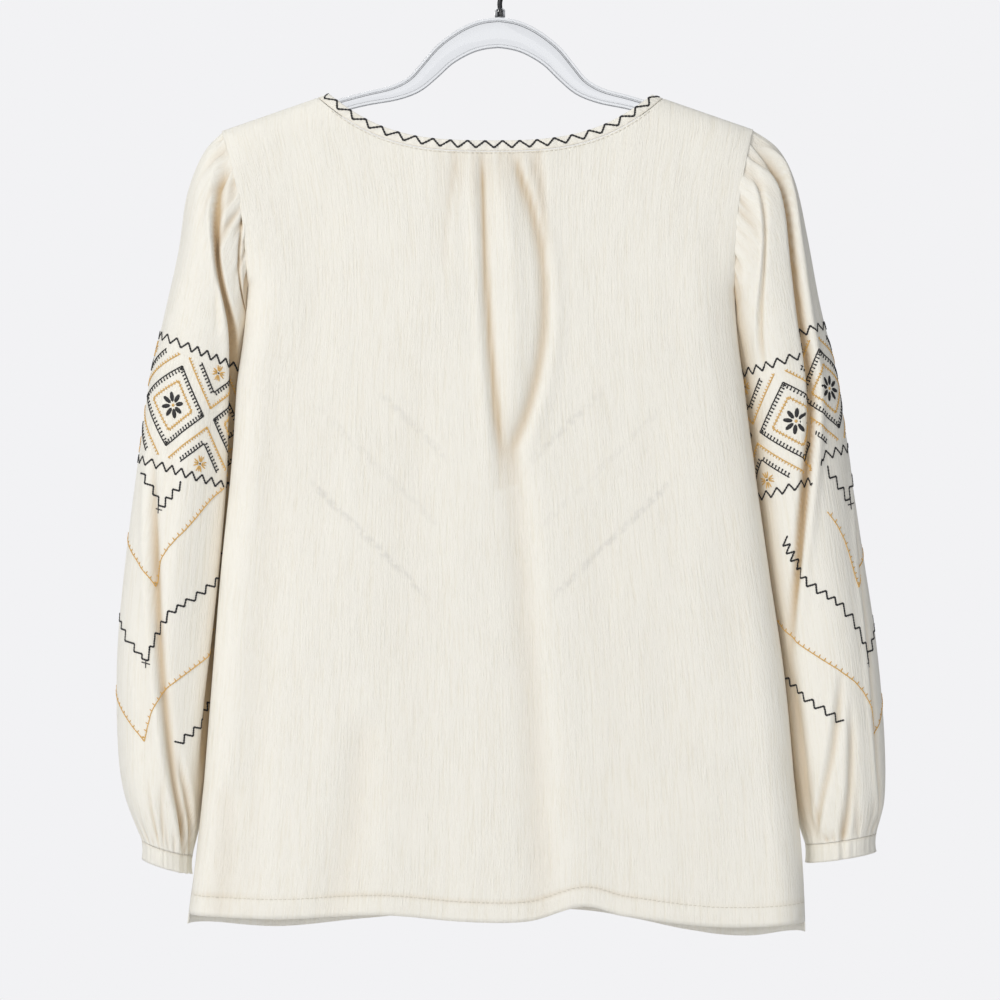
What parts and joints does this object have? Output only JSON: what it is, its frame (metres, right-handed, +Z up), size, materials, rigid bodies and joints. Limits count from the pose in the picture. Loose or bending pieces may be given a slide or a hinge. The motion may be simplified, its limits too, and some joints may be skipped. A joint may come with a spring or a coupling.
{
  "type": "peasant blouse on a hanger",
  "caption": "Long-sleeved crinkled cotton peasant blouse, gathered at neck, sleeve heads and cuffs, with folk embroidery, hung on a clear hanger with a wire hook.",
  "frame": {"origin": "inside crown of the hanger's hook, where a rail carries it", "axes": "+Z up, the blouse's back faces -Y and its front +Y, +X to the right seen from the back"},
  "size_m": [0.5873, 0.0831, 0.7655],
  "materials": {
    "cotton": "crinkled ivory cotton gauze with a soft matt surface",
    "clear_plastic": "clear polished plastic",
    "black_metal": "black satin wire",
    "black_thread": "black embroidery cotton",
    "gold_thread": "golden embroidery cotton"
  },
  "bodies": {
    "root": {"back_panel": "cotton", "front_panel": "cotton", "neck_band": "cotton", "sleeve_left": "cotton", "cuff_left": "cotton", "sleeve_right": "cotton", "cuff_right": "cotton", "hanger_body": "clear_plastic", "hook_collar": "black_metal", "hanger_hook": "black_metal"}
  },
  "joints": []
}
